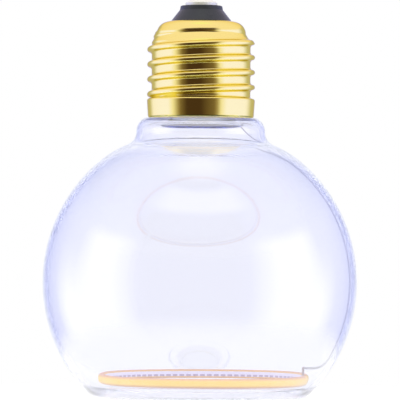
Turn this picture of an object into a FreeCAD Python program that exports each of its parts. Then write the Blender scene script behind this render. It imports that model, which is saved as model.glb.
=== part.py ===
import FreeCAD, Part
import math
import os

import Sketcher

# Clear LED globe bulb with a 27 mm screw cap, standing cap up on its flat glass foot.
# Millimetres. The origin is the centre of the foot and +Z runs up the axis to the cap.

# Driving sizes: name, value, meaning
SIZES = [
    ("globe_diameter", "76.2", "outside of the blown globe"),
    ("glass_wall", "1.45", "glass thickness of globe, collar and neck"),
    ("centre_height", "27.9", "height of the globe's centre over the foot"),
    ("foot_corner", "4", "outer rounding between foot and globe"),
    ("floor_thickness", "1.5", "glass thickness of the foot"),
    ("floor_corner", "6.5", "inner rounding between floor and wall"),
    ("shoulder_angle", "40", "angle off the axis where the globe turns into its flatter shoulder"),
    ("shoulder_radius", "25", "radius of that shoulder"),
    ("collar_diameter", "31.3", "widest part of the collar under the cap"),
    ("collar_fillet", "3.5", "hollow rounding between shoulder and collar"),
    ("collar_rise", "3.27", "height of the rounded collar edge"),
    ("collar_edge_diameter", "27.4", "sharp upper edge of the collar"),
    ("neck_diameter", "22.6", "neck tube inside the cap"),
    ("neck_length", "6.4", "neck tube above the collar"),
    ("neck_lip", "0.8", "rounding where the bore opens into the collar"),
    ("shell_wall", "0.3", "brass sheet of the screw shell"),
    ("rim_gap", "0.05", "hairline between shell rim and collar"),
    ("rim_height", "0.8", "height of the turned-in rim"),
    ("rim_turn", "0.22", "how far the rim turns in"),
    ("skirt_foot_diameter", "25.76", "skirt just above the rim"),
    ("skirt_height", "4.2", "rim to the top of the skirt"),
    ("skirt_round", "0.55", "roundings of the step from skirt to thread"),
    ("thread_major", "26.2", "thread over the crests"),
    ("thread_minor", "24", "thread over the roots"),
    ("thread_pitch", "3.629", "seven turns to the inch"),
    ("thread_start", "3.9", "first crest above the rim, on the +X side"),
    ("thread_turns", "4.5", "turns from the skirt to the crown"),
    ("crest_round", "0.68", "rounding of the crests"),
    ("root_round", "0.68", "rounding on each side of the roots"),
    ("hollow_turns", "3.5", "turns of the hollow behind the crests"),
    ("root_land", "0.05", "narrow land left between the root roundings"),
    ("run_out_drop", "5.35", "start of the tapered run-out below the top of the shell"),
    ("run_out_slope", "32", "half angle of the tapered run-out"),
    ("shell_height", "23.45", "rim to the top of the shell"),
    ("crown_diameter", "21.7", "foot of the rounded crown"),
    ("crown_round", "3.05", "rounding of the crown"),
    ("crown_cone", "2", "height of the cone between thread and crown"),
    ("crown_opening", "15", "hole in the crown"),
    ("seat_gap", "0.05", "gap between the insulator and the shell"),
    ("insulator_depth", "3.9", "insulator inside the shell"),
    ("insulator_height", "3.85", "insulator above the shell"),
    ("insulator_rim_height", "1.05", "upright rim around the contact"),
    ("insulator_rim_diameter", "10.5", "foot of that rim"),
    ("insulator_top_diameter", "10.2", "top of that rim"),
    ("insulator_edge", "0.3", "rounding of the top edge"),
    ("contact_hole", "1.8", "hole through the insulator"),
    ("contact_diameter", "7.75", "centre contact"),
    ("contact_edge", "0.7", "upright edge of the contact"),
    ("contact_height", "1.95", "contact above the insulator"),
    ("shank_diameter", "1.6", "shank of the contact in the insulator"),
    ("shank_length", "2.4", "length of the shank"),
    ("board_diameter", "21.6", "driver board"),
    ("board_thickness", "1", "driver board"),
    ("hole_clearance", "0.1", "room around a wire in its hole"),
    ("resistor_lead", "0.5", "leads of the fuse resistor"),
    ("resistor_standoff", "1.2", "fuse resistor above the board"),
    ("resistor_length", "6.5", "body of the fuse resistor"),
    ("resistor_waist", "2.3", "middle of the body"),
    ("resistor_cap", "2.9", "end caps of the body"),
    ("resistor_cap_length", "1.3", "length of an end cap"),
    ("capacitor_diameter", "6.3", "smoothing capacitor"),
    ("capacitor_height", "9", "smoothing capacitor"),
    ("capacitor_offset", "5.6", "capacitor from the axis, towards -X"),
    ("capacitor_crimp", "0.35", "depth of the rolled groove near its foot"),
    ("package_x", "5.4", "rectifier and chip from the axis, towards +X"),
    ("package_y", "4.4", "rectifier and chip either side of the X axis"),
    ("rectifier_length", "4.7", "rectifier body along X"),
    ("rectifier_width", "3.9", "rectifier body along Y"),
    ("rectifier_height", "2.4", "rectifier body"),
    ("rectifier_leg_pitch", "2.5", "between two legs of the rectifier"),
    ("chip_length", "4.9", "driver chip body along X"),
    ("chip_width", "3.9", "driver chip body along Y"),
    ("chip_height", "1.5", "driver chip body"),
    ("chip_leg_pitch", "1.27", "between two legs of the driver chip"),
    ("leg_width", "0.45", "a flat leg"),
    ("leg_thickness", "0.22", "a flat leg"),
    ("leg_reach", "0.9", "leg beyond the body"),
    ("flat_resistor_length", "3.2", "a flat resistor along Y"),
    ("flat_resistor_width", "1.6", "a flat resistor along X"),
    ("flat_resistor_height", "0.6", "a flat resistor"),
    ("flat_resistor_offset", "7.2", "flat resistors either side of the X axis"),
    ("shell_lead_offset", "9.2", "foot of the shell lead from the axis, towards +Y"),
    ("shell_lead_bend", "1.2", "bend of the shell lead"),
    ("filament_reach", "2.95", "outside of the ring beyond the flat of the floor"),
    ("filament_offset", "1.05", "ring off the bulb's axis, towards +X and its leads"),
    ("filament_height", "2.2", "ring filament, top to bottom"),
    ("filament_lift", "1.92", "ring above the floor, where its two leads hold it"),
    ("coat_thickness", "1.4", "phosphor coat with strip, along the radius"),
    ("coat_round", "0.75", "outer roundings of the coat"),
    ("coat_edge", "0.25", "inner roundings of the coat"),
    ("strip_height", "1.3", "flexible strip"),
    ("strip_thickness", "0.2", "flexible strip"),
    ("ring_azimuth", "-8.5", "middle of the ring's gap, turned from +X towards +Y"),
    ("ring_gap", "9", "angle of the gap"),
    ("bare_end", "1.2", "angle of bare strip at each end"),
    ("terminal_angle", "1.6", "angle taken by a terminal"),
    ("terminal_thickness", "0.25", "a terminal along the radius"),
    ("terminal_rise", "2", "terminal above the ring"),
    ("emitter_count", "84", "LED chips, with a pad behind each"),
    ("emitter_length", "1", "an LED chip along the strip"),
    ("emitter_height", "0.5", "an LED chip"),
    ("emitter_thickness", "0.2", "an LED chip"),
    ("pad_length", "1.2", "a pad along the strip"),
    ("pad_height", "0.5", "a pad"),
    ("pad_thickness", "0.05", "a pad"),
    ("pad_drop", "0.38", "pad row below the middle of the strip"),
    ("lead_diameter", "0.3", "the two filament leads"),
    ("lead_drop", "0.3", "lead below the top of its terminal"),
    ("lead_wall_gap", "0.2", "middle of a lead from the inner wall of the globe"),
    ("lead_low_bend", "4.5", "bend from the ring to the wall"),
    ("lead_high_bend", "12", "bend from the wall into the neck"),
    ("lead_neck_offset", "8.8", "lead from the axis inside the neck"),
    ("joint_diameter", "0.85", "solder over a filament lead"),
    ("joint_height", "0.7", "solder over a filament lead"),
]

# Sizes that follow from the driving ones: name, formula, meaning
WORKED = [
    ("globe_radius", "=Sizes.globe_diameter / 2", "outer globe"),
    ("inner_radius", "=globe_radius - Sizes.glass_wall", "inner globe"),
    ("foot_radius",
     "=sqrt((globe_radius - Sizes.foot_corner) ^ 2 - (Sizes.centre_height - Sizes.foot_corner) ^ 2)",
     "flat of the foot"),
    ("foot_share", "=globe_radius / (globe_radius - Sizes.foot_corner)", "foot corner to globe"),
    ("heel_radius", "=foot_radius * foot_share", "end of the foot corner"),
    ("heel_height",
     "=Sizes.centre_height - (Sizes.centre_height - Sizes.foot_corner) * foot_share",
     "end of the foot corner"),
    ("floor_drop", "=Sizes.centre_height - Sizes.floor_thickness - Sizes.floor_corner",
     "floor corner's centre below the globe's"),
    ("floor_radius", "=sqrt((inner_radius - Sizes.floor_corner) ^ 2 - floor_drop ^ 2)",
     "flat of the floor"),
    ("floor_share", "=inner_radius / (inner_radius - Sizes.floor_corner)", "floor corner to wall"),
    ("floor_end_radius", "=floor_radius * floor_share", "end of the floor corner"),
    ("floor_end_height", "=Sizes.centre_height - floor_drop * floor_share",
     "end of the floor corner"),
    ("shoulder_x", "=(globe_radius - Sizes.shoulder_radius) * sin(Sizes.shoulder_angle)",
     "centre of the shoulder arc"),
    ("shoulder_z",
     "=Sizes.centre_height + (globe_radius - Sizes.shoulder_radius) * cos(Sizes.shoulder_angle)",
     "centre of the shoulder arc"),
    ("collar_radius", "=Sizes.collar_diameter / 2", "collar"),
    ("edge_radius", "=Sizes.collar_edge_diameter / 2", "upper edge of the collar"),
    ("fillet_x", "=collar_radius + Sizes.collar_fillet", "centre of the hollow rounding"),
    ("fillet_z",
     "=shoulder_z + sqrt((Sizes.shoulder_radius + Sizes.collar_fillet) ^ 2"
     " - (fillet_x - shoulder_x) ^ 2)",
     "centre of the hollow rounding"),
    ("fillet_share", "=Sizes.shoulder_radius / (Sizes.shoulder_radius + Sizes.collar_fillet)",
     "shoulder to hollow rounding"),
    ("inner_fillet_share",
     "=(Sizes.shoulder_radius - Sizes.glass_wall) / (Sizes.shoulder_radius + Sizes.collar_fillet)",
     "the same on the inner wall"),
    ("collar_inset", "=collar_radius - edge_radius", "collar edge inside its widest part"),
    ("collar_round", "=(collar_inset ^ 2 + Sizes.collar_rise ^ 2) / (2 * collar_inset)",
     "arc through the widest part and the edge"),
    ("collar_top", "=fillet_z + Sizes.collar_rise", "upper edge of the collar"),
    ("ceiling_height", "=collar_top - Sizes.glass_wall", "inner side of the collar's top"),
    ("ceiling_radius",
     "=collar_radius - collar_round + sqrt((collar_round - Sizes.glass_wall) ^ 2"
     " - (Sizes.collar_rise - Sizes.glass_wall) ^ 2)",
     "inner side of the collar's edge"),
    ("neck_radius", "=Sizes.neck_diameter / 2", "neck tube"),
    ("bore_radius", "=neck_radius - Sizes.glass_wall", "bore of the neck tube"),
    ("neck_top", "=collar_top + Sizes.neck_length", "lip of the neck tube"),
    ("rim_z", "=collar_top + Sizes.rim_gap", "lower edge of the shell"),
    ("rim_end_z", "=rim_z + Sizes.rim_height", "top of the turned-in rim"),
    ("skirt_foot", "=Sizes.skirt_foot_diameter / 2", "skirt above the rim"),
    ("rim_radius", "=skirt_foot - Sizes.rim_turn", "lower edge of the shell"),
    ("rim_curve", "=(Sizes.rim_height ^ 2 + Sizes.rim_turn ^ 2) / (2 * Sizes.rim_turn)",
     "arc of the turned-in rim"),
    ("skirt_top_z", "=rim_z + Sizes.skirt_height", "top of the skirt"),
    ("crest_radius", "=Sizes.thread_major / 2", "thread crests and top of the skirt"),
    ("root_radius", "=Sizes.thread_minor / 2", "thread roots"),
    ("land_radius", "=root_radius + Sizes.root_land", "land between the roots"),
    ("thread_depth", "=crest_radius - root_radius", "crest over root"),
    ("skirt_step", "=crest_radius - land_radius", "skirt over the land"),
    ("skirt_step_height", "=sqrt(4 * Sizes.skirt_round * skirt_step - skirt_step ^ 2)",
     "height of the rounded step"),
    ("root_z", "=skirt_top_z + skirt_step_height", "start of the thread zone"),
    ("shell_top_z", "=rim_z + Sizes.shell_height", "top of the shell"),
    ("crown_radius", "=Sizes.crown_diameter / 2", "foot of the crown"),
    ("crown_z", "=shell_top_z - Sizes.crown_round", "foot of the crown"),
    ("cone_z", "=crown_z - Sizes.crown_cone", "foot of the cone under the crown"),
    ("opening_radius", "=Sizes.crown_opening / 2", "hole in the crown"),
    ("first_crest_z", "=rim_z + Sizes.thread_start", "first crest on the +X side"),
    ("crest_centre", "=crest_radius - Sizes.crest_round", "centre of the crest rounding"),
    ("root_centre", "=root_radius + Sizes.root_round", "centre of a root rounding"),
    ("root_offset",
     "=sqrt((Sizes.crest_round + Sizes.root_round) ^ 2 - (root_centre - crest_centre) ^ 2)",
     "centre of a root rounding from the crest, along the axis"),
    ("wave_share", "=Sizes.crest_round / (Sizes.crest_round + Sizes.root_round)",
     "crest and root roundings meet"),
    ("wave_x", "=crest_centre + (root_centre - crest_centre) * wave_share",
     "crest and root roundings meet"),
    ("wave_z", "=root_offset * wave_share", "crest and root roundings meet"),
    ("ridge_base",
     "=root_offset - sqrt(Sizes.root_round ^ 2 - (root_centre - land_radius) ^ 2)",
     "half width of the ridge on the land"),
    ("inner_land", "=land_radius - Sizes.shell_wall", "inside of the land"),
    ("ridge_foot", "=land_radius - Sizes.shell_wall / 2", "back of the ridge, inside the wall"),
    ("hollow_foot", "=inner_land - Sizes.shell_wall / 2", "front of the hollow, inside the bore"),
    ("hollow_top", "=crest_radius - Sizes.shell_wall", "deepest part of the hollow"),
    ("hollow_flat", "=Sizes.crest_round * 0.3", "half width of that part"),
    ("hollow_share", "=1 - Sizes.shell_wall / Sizes.crest_round", "wall behind the flank"),
    ("hollow_x", "=crest_centre + (wave_x - crest_centre) * hollow_share", "middle of the flank"),
    ("hollow_z", "=wave_z * hollow_share", "middle of the flank"),
    ("hollow_base",
     "=hollow_z + (hollow_x - hollow_foot) * (wave_x - crest_centre) / wave_z",
     "half width of the hollow at its front"),
    ("run_out_z", "=shell_top_z - Sizes.run_out_drop", "start of the run-out"),
    ("run_out_inner", "=crest_radius - Sizes.run_out_drop * tan(Sizes.run_out_slope)",
     "run-out level with the top of the shell"),
    ("plug_radius", "=opening_radius - Sizes.seat_gap", "insulator in the hole of the crown"),
    ("plug_top_z", "=shell_top_z - Sizes.shell_wall - Sizes.seat_gap", "flange under the crown"),
    ("plug_round", "=Sizes.crown_round - Sizes.shell_wall - Sizes.seat_gap",
     "flange under the crown's rounding"),
    ("plug_flange", "=crown_radius - Sizes.shell_wall - Sizes.seat_gap", "flange of the insulator"),
    ("plug_foot_z", "=shell_top_z - Sizes.insulator_depth", "underside of the insulator"),
    ("insulator_top_z", "=shell_top_z + Sizes.insulator_height", "top of the insulator"),
    ("insulator_rim_z", "=insulator_top_z - Sizes.insulator_rim_height", "foot of the rim"),
    ("insulator_top", "=Sizes.insulator_top_diameter / 2", "top of the rim"),
    ("contact_radius", "=Sizes.contact_diameter / 2", "centre contact"),
    ("dome_z", "=insulator_top_z + Sizes.contact_edge", "foot of the dome"),
    ("dome_rise", "=Sizes.contact_height - Sizes.contact_edge", "rise of the dome"),
    ("dome_radius", "=(contact_radius ^ 2 + dome_rise ^ 2) / (2 * dome_rise)", "dome"),
    ("shank_z", "=insulator_top_z - Sizes.shank_length", "end of the shank"),
    ("board_z", "=neck_top + Sizes.board_thickness", "upper side of the board"),
    ("resistor_z", "=board_z + Sizes.resistor_standoff", "foot of the fuse resistor"),
    ("resistor_top_z", "=resistor_z + Sizes.resistor_length", "top of the fuse resistor"),
    ("crimp_z", "=board_z + Sizes.capacitor_height / 5", "rolled groove of the capacitor"),
    ("shell_lead_z", "=first_crest_z + Sizes.thread_pitch * 1.75",
     "second root above the first crest, a quarter turn on"),
    ("shell_lead_end", "=root_radius - Sizes.shell_wall - Sizes.seat_gap", "end at the shell"),
    ("filament_radius", "=floor_radius + Sizes.filament_reach", "outside of the ring"),
    ("filament_z", "=Sizes.floor_thickness + Sizes.filament_lift", "underside of the ring"),
    ("filament_top_z", "=filament_z + Sizes.filament_height", "top of the ring"),
    ("strip_inner", "=filament_radius - Sizes.coat_thickness", "inner face of the strip"),
    ("strip_outer", "=strip_inner + Sizes.strip_thickness", "outer face of the strip"),
    ("strip_z", "=filament_z + (Sizes.filament_height - Sizes.strip_height) / 2",
     "lower edge of the strip"),
    ("strip_top_z", "=strip_z + Sizes.strip_height", "upper edge of the strip"),
    ("strip_middle", "=strip_z + Sizes.strip_height / 2", "middle of the strip"),
    ("strip_start", "=Sizes.ring_azimuth + Sizes.ring_gap / 2", "azimuth where the strip starts"),
    ("strip_sweep", "=360 - Sizes.ring_gap", "angle of the strip"),
    ("coat_sweep", "=strip_sweep - 2 * Sizes.bare_end", "angle of the coat"),
    ("emitter_angle", "=Sizes.emitter_length / strip_outer * 180 / pi", "angle of an LED chip"),
    ("emitter_pitch", "=coat_sweep / Sizes.emitter_count", "angle between LED chips"),
    ("emitter_first", "=strip_start + Sizes.bare_end + (emitter_pitch - emitter_angle) / 2",
     "azimuth of the first LED chip"),
    ("pad_angle", "=Sizes.pad_length / strip_inner * 180 / pi", "angle of a pad"),
    ("pad_first", "=strip_start + Sizes.bare_end + (emitter_pitch - pad_angle) / 2",
     "azimuth of the first pad"),
    ("row_span", "=emitter_pitch * (Sizes.emitter_count - 1)", "first to last of the row"),
    ("pad_z", "=strip_middle - Sizes.pad_drop - Sizes.pad_height / 2", "lower edge of the pads"),
    ("terminal_outer", "=strip_inner + Sizes.terminal_thickness", "outer face of a terminal"),
    ("terminal_top_z", "=filament_top_z + Sizes.terminal_rise", "top of a terminal"),
    ("lead_spread", "=Sizes.ring_gap - Sizes.terminal_angle", "angle between the two leads"),
    ("lead_azimuth", "=Sizes.ring_azimuth - lead_spread / 2", "azimuth of the first lead"),
    ("live_start", "=terminal_outer + Sizes.filament_offset * cos(lead_azimuth)",
     "first lead at its terminal"),
    ("return_start", "=terminal_outer + Sizes.filament_offset * cos(lead_azimuth + lead_spread)",
     "second lead at its terminal"),
    ("lead_radius", "=Sizes.lead_diameter / 2", "filament lead"),
    ("lead_z", "=terminal_top_z - Sizes.lead_drop", "lead at its terminal"),
    ("lead_path_radius", "=inner_radius - Sizes.lead_wall_gap", "lead along the wall"),
    ("low_bend_drop", "=Sizes.centre_height - lead_z - Sizes.lead_low_bend",
     "low bend's centre below the globe's"),
    ("low_bend_x", "=sqrt((lead_path_radius - Sizes.lead_low_bend) ^ 2 - low_bend_drop ^ 2)",
     "centre of the low bend"),
    ("low_share", "=lead_path_radius / (lead_path_radius - Sizes.lead_low_bend)",
     "low bend to wall"),
    ("high_bend_x", "=Sizes.lead_neck_offset + Sizes.lead_high_bend", "centre of the high bend"),
    ("lead_shoulder", "=Sizes.shoulder_radius - Sizes.glass_wall - Sizes.lead_wall_gap",
     "lead along the shoulder"),
    ("high_bend_rise",
     "=sqrt((lead_shoulder + Sizes.lead_high_bend) ^ 2 - (high_bend_x - shoulder_x) ^ 2)",
     "high bend's centre above the shoulder's"),
    ("high_share", "=lead_shoulder / (lead_shoulder + Sizes.lead_high_bend)",
     "shoulder to high bend"),
]

document = FreeCAD.newDocument("GlobeBulb")


def fill_sheet(name, rows):
    sheet = document.addObject("Spreadsheet::Sheet", name)
    for number, (alias, content, meaning) in enumerate(rows, start=1):
        sheet.set(f"A{number}", alias)
        sheet.set(f"B{number}", content)
        sheet.set(f"C{number}", meaning)
        sheet.setAlias(f"B{number}", alias)
    return sheet


fill_sheet("Sizes", SIZES)
worked = fill_sheet("Worked", WORKED)
document.recompute()


def amount(text):
    """The number that an expression on the two sheets gives."""
    return float(worked.evalExpression(text))


def new_body(name, azimuth=None):
    """An empty body, turned about the bulb's axis where an azimuth is given."""
    body = document.addObject("PartDesign::Body", name)
    body.Label = name
    body.AllowCompound = True
    if azimuth:
        upright = FreeCAD.Vector(0, 0, 1)
        turn = FreeCAD.Rotation(upright, amount(azimuth))
        body.Placement = FreeCAD.Placement(FreeCAD.Vector(0, 0, 0), turn)
        body.setExpression("Placement.Rotation.Angle", azimuth)
    return body


def ring_body(name, azimuth):
    """An empty body of the ring filament, which hangs a little off the bulb's axis."""
    body = new_body(name, azimuth)
    body.setExpression("Placement.Base.x", "Sizes.filament_offset")
    return body


def origin_feature(body, role):
    return next(item for item in body.Origin.OriginFeatures if item.Role == role)


class Outline:
    """A sketch drawn from point to point, with every point and radius bound to the sheets.

    On the XZ plane the first coordinate is the radius and the second the height.
    """

    def __init__(self, body, name, plane="XZ_Plane", offset=None):
        self.sketch = body.newObject("Sketcher::SketchObject", name)
        self.sketch.AttachmentSupport = (origin_feature(body, plane), [""])
        self.sketch.MapMode = "FlatFace"
        if offset:
            self.sketch.setExpression("AttachmentOffset.Base.z", offset)
        self.bound = 0
        self.first = None
        self.last = None
        self.place = None

    def bind(self, constraint, expression):
        index = self.sketch.addConstraint(constraint)
        self.bound += 1
        label = f"size{self.bound}"
        self.sketch.renameConstraint(index, label)
        self.sketch.setExpression(f"Constraints.{label}", expression)

    def hold(self, geometry, point, place):
        """Bind a point to its two coordinates, or to an axis where a coordinate is nought."""
        axes = (("DistanceX", -2), ("DistanceY", -1))
        for (kind, axis), expression in zip(axes, place):
            value = amount(expression)
            if abs(value) < 1e-9:
                self.sketch.addConstraint(Sketcher.Constraint("PointOnObject", geometry, point, axis))
            else:
                self.bind(Sketcher.Constraint(kind, -1, 1, geometry, point, value), expression)

    def start(self, x, y):
        self.place = (x, y)
        return self

    def add(self, shape, begin, end, target):
        geometry = self.sketch.addGeometry(shape, False)
        if self.last is None:
            self.first = (geometry, begin)
            self.hold(geometry, begin, self.place)
        else:
            self.sketch.addConstraint(Sketcher.Constraint("Coincident", *self.last, geometry, begin))
        self.last = (geometry, end)
        self.place = target
        return geometry

    def vector(self, place):
        return FreeCAD.Vector(amount(place[0]), amount(place[1]), 0)

    def line(self, x, y, closing=False):
        shape = Part.LineSegment(self.vector(self.place), self.vector((x, y)))
        geometry = self.add(shape, 1, 2, (x, y))
        if not closing:
            self.hold(geometry, 2, (x, y))
        return self

    def arc(self, x, y, radius, left=True):
        """An arc of less than half a turn that bends to the left or right of the way drawn."""
        begin = self.vector(self.place)
        end = self.vector((x, y))
        size = amount(radius)
        chord = end - begin
        side = FreeCAD.Vector(-chord.y, chord.x, 0).normalize()
        reach = math.sqrt(max(size ** 2 - (chord.Length / 2) ** 2, 0))
        centre = begin + chord * 0.5 + side * (reach if left else -reach)
        circle = Part.Circle(centre, FreeCAD.Vector(0, 0, 1), size)
        low, high = (begin, end) if left else (end, begin)
        angles = [math.atan2(point.y - centre.y, point.x - centre.x) for point in (low, high)]
        if angles[1] < angles[0]:
            angles[1] += 2 * math.pi
        points = (1, 2) if left else (2, 1)
        geometry = self.add(Part.ArcOfCircle(circle, *angles), *points, (x, y))
        self.hold(geometry, points[1], (x, y))
        self.bind(Sketcher.Constraint("Radius", geometry, size), radius)
        return self

    def close(self, x, y):
        self.line(x, y, closing=True)
        self.sketch.addConstraint(Sketcher.Constraint("Coincident", *self.last, *self.first))
        return self.sketch

    def circle(self, x, y, radius):
        middle = self.vector((x, y))
        shape = Part.Circle(middle, FreeCAD.Vector(0, 0, 1), amount(radius))
        geometry = self.sketch.addGeometry(shape, False)
        self.hold(geometry, 3, (x, y))
        self.bind(Sketcher.Constraint("Radius", geometry, amount(radius)), radius)
        return self

    def rectangle(self, low_x, low_y, high_x, high_y):
        """A closed rectangle, as one more loop of the sketch."""
        self.last = None
        self.start(low_x, low_y).line(high_x, low_y).line(high_x, high_y).line(low_x, high_y)
        self.close(low_x, low_y)
        return self


def revolve(body, sketch, angle="360"):
    feature = body.newObject("PartDesign::Revolution", f"{body.Name}_turned")
    feature.Profile = (sketch, [""])
    feature.ReferenceAxis = (sketch, ["V_Axis"])
    feature.Angle = amount(angle)
    feature.setExpression("Angle", angle)
    # the XZ sketch plane faces -Y, so turning the other way runs towards +Y
    feature.Reversed = False
    return feature


def groove(body, sketch, name):
    feature = body.newObject("PartDesign::Groove", name)
    feature.Profile = (sketch, [""])
    feature.ReferenceAxis = (sketch, ["V_Axis"])
    feature.Angle = 360
    return feature


def pad(body, sketch, length, name):
    feature = body.newObject("PartDesign::Pad", name)
    feature.Profile = (sketch, [""])
    feature.setExpression("Length", length)
    return feature


def copy_around(body, feature, span, count):
    """Repeat a feature about the bulb's axis over an angle."""
    pattern = body.newObject("PartDesign::PolarPattern", f"{body.Name}_row")
    pattern.Originals = [feature]
    pattern.Axis = (origin_feature(body, "Z_Axis"), [""])
    pattern.setExpression("Angle", span)
    pattern.setExpression("Occurrences", count)
    body.Tip = pattern
    return pattern


# Glass envelope: blown in one piece, with a thick flat foot, a shoulder, a rounded collar
# under the cap and a narrow neck tube that stands inside the cap.
glass = new_body("glass_globe")
wall = Outline(glass, "glass_section").start("0", "0")
wall.line("Worked.foot_radius", "0")
wall.arc("Worked.heel_radius", "Worked.heel_height", "Sizes.foot_corner")
wall.arc("Worked.globe_radius * sin(Sizes.shoulder_angle)",
         "Sizes.centre_height + Worked.globe_radius * cos(Sizes.shoulder_angle)",
         "Worked.globe_radius")
wall.arc("Worked.shoulder_x + (Worked.fillet_x - Worked.shoulder_x) * Worked.fillet_share",
         "Worked.shoulder_z + (Worked.fillet_z - Worked.shoulder_z) * Worked.fillet_share",
         "Sizes.shoulder_radius")
wall.arc("Worked.collar_radius", "Worked.fillet_z", "Sizes.collar_fillet", left=False)
wall.arc("Worked.edge_radius", "Worked.collar_top", "Worked.collar_round")
wall.line("Worked.neck_radius", "Worked.collar_top")
wall.line("Worked.neck_radius", "Worked.neck_top")
wall.line("Worked.bore_radius", "Worked.neck_top")
wall.line("Worked.bore_radius", "Worked.ceiling_height + Sizes.neck_lip")
wall.arc("Worked.bore_radius + Sizes.neck_lip", "Worked.ceiling_height", "Sizes.neck_lip")
wall.line("Worked.ceiling_radius", "Worked.ceiling_height")
wall.arc("Worked.collar_radius - Sizes.glass_wall", "Worked.fillet_z",
         "Worked.collar_round - Sizes.glass_wall", left=False)
wall.arc("Worked.shoulder_x + (Worked.fillet_x - Worked.shoulder_x) * Worked.inner_fillet_share",
         "Worked.shoulder_z + (Worked.fillet_z - Worked.shoulder_z) * Worked.inner_fillet_share",
         "Sizes.collar_fillet + Sizes.glass_wall")
wall.arc("Worked.inner_radius * sin(Sizes.shoulder_angle)",
         "Sizes.centre_height + Worked.inner_radius * cos(Sizes.shoulder_angle)",
         "Sizes.shoulder_radius - Sizes.glass_wall", left=False)
wall.arc("Worked.floor_end_radius", "Worked.floor_end_height", "Worked.inner_radius", left=False)
wall.arc("Worked.floor_radius", "Sizes.floor_thickness", "Sizes.floor_corner", left=False)
wall.line("0", "Sizes.floor_thickness")
revolve(glass, wall.close("0", "0"))

# Screw shell: brass sheet drawn to a cup with a plain skirt and a rounded crown, then rolled
# so that the same helical wave shows outside and inside.
shell = new_body("cap_shell")
sheet_wall = Outline(shell, "shell_section").start("Worked.rim_radius", "Worked.rim_z")
sheet_wall.arc("Worked.skirt_foot", "Worked.rim_end_z", "Worked.rim_curve")
sheet_wall.line("Worked.crest_radius", "Worked.skirt_top_z")
sheet_wall.arc("Worked.crest_radius - Worked.skirt_step / 2",
               "Worked.skirt_top_z + Worked.skirt_step_height / 2", "Sizes.skirt_round")
sheet_wall.arc("Worked.land_radius", "Worked.root_z", "Sizes.skirt_round", left=False)
sheet_wall.line("Worked.land_radius", "Worked.cone_z")
sheet_wall.line("Worked.crown_radius", "Worked.crown_z")
sheet_wall.arc("Worked.crown_radius - Sizes.crown_round", "Worked.shell_top_z", "Sizes.crown_round")
sheet_wall.line("Worked.opening_radius", "Worked.shell_top_z")
sheet_wall.line("Worked.opening_radius", "Worked.shell_top_z - Sizes.shell_wall")
sheet_wall.line("Worked.crown_radius - Sizes.crown_round", "Worked.shell_top_z - Sizes.shell_wall")
sheet_wall.arc("Worked.crown_radius - Sizes.shell_wall", "Worked.crown_z",
               "Sizes.crown_round - Sizes.shell_wall", left=False)
sheet_wall.line("Worked.inner_land", "Worked.cone_z")
sheet_wall.line("Worked.inner_land", "Worked.root_z")
sheet_wall.line("Worked.crest_radius - Sizes.shell_wall", "Worked.skirt_top_z")
sheet_wall.line("Worked.skirt_foot - Sizes.shell_wall", "Worked.rim_end_z")
sheet_wall.line("Worked.rim_radius - Sizes.shell_wall", "Worked.rim_z")
revolve(shell, sheet_wall.close("Worked.rim_radius", "Worked.rim_z"))


def thread_turns(kind, name, sketch, turns):
    feature = shell.newObject(f"PartDesign::{kind}", name)
    feature.Profile = (sketch, [""])
    feature.ReferenceAxis = (sketch, ["V_Axis"])
    feature.Mode = "pitch-turns-angle"
    feature.setExpression("Pitch", "Sizes.thread_pitch")
    feature.setExpression("Turns", turns)
    feature.LeftHanded = False
    feature.Reversed = False
    feature.HasBeenEdited = True
    return feature


ridge = Outline(shell, "thread_ridge")
ridge.start("Worked.ridge_foot", "Worked.first_crest_z - Worked.ridge_base")
ridge.line("Worked.land_radius", "Worked.first_crest_z - Worked.ridge_base")
ridge.arc("Worked.wave_x", "Worked.first_crest_z - Worked.wave_z", "Sizes.root_round", left=False)
ridge.arc("Worked.wave_x", "Worked.first_crest_z + Worked.wave_z", "Sizes.crest_round")
ridge.arc("Worked.land_radius", "Worked.first_crest_z + Worked.ridge_base", "Sizes.root_round",
          left=False)
ridge.line("Worked.ridge_foot", "Worked.first_crest_z + Worked.ridge_base")
ridge.close("Worked.ridge_foot", "Worked.first_crest_z - Worked.ridge_base")
thread_turns("AdditiveHelix", "thread", ridge.sketch, "Sizes.thread_turns")

# The inside of the skirt stays smooth where the thread starts.
smooth = Outline(shell, "skirt_inside").start("Worked.inner_land - Sizes.shell_wall", "Worked.rim_end_z")
smooth.line("Worked.skirt_foot - Sizes.shell_wall", "Worked.rim_end_z")
smooth.line("Worked.crest_radius - Sizes.shell_wall", "Worked.skirt_top_z")
smooth.line("Worked.inner_land", "Worked.root_z")
smooth.line("Worked.inner_land - Sizes.shell_wall", "Worked.root_z")
groove(shell, smooth.close("Worked.inner_land - Sizes.shell_wall", "Worked.rim_end_z"),
       "skirt_inside_turned")

# The hollow behind each crest, as the rolls press it into the sheet.
hollow = Outline(shell, "thread_hollow")
hollow.start("Worked.hollow_foot", "Worked.first_crest_z - Worked.hollow_base")
hollow.line("Worked.hollow_x", "Worked.first_crest_z - Worked.hollow_z")
hollow.line("Worked.hollow_top", "Worked.first_crest_z - Worked.hollow_flat")
hollow.line("Worked.hollow_top", "Worked.first_crest_z + Worked.hollow_flat")
hollow.line("Worked.hollow_x", "Worked.first_crest_z + Worked.hollow_z")
hollow.line("Worked.hollow_foot", "Worked.first_crest_z + Worked.hollow_base")
hollow.close("Worked.hollow_foot", "Worked.first_crest_z - Worked.hollow_base")
thread_turns("SubtractiveHelix", "thread_hollow_turns", hollow.sketch, "Sizes.hollow_turns")

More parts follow.
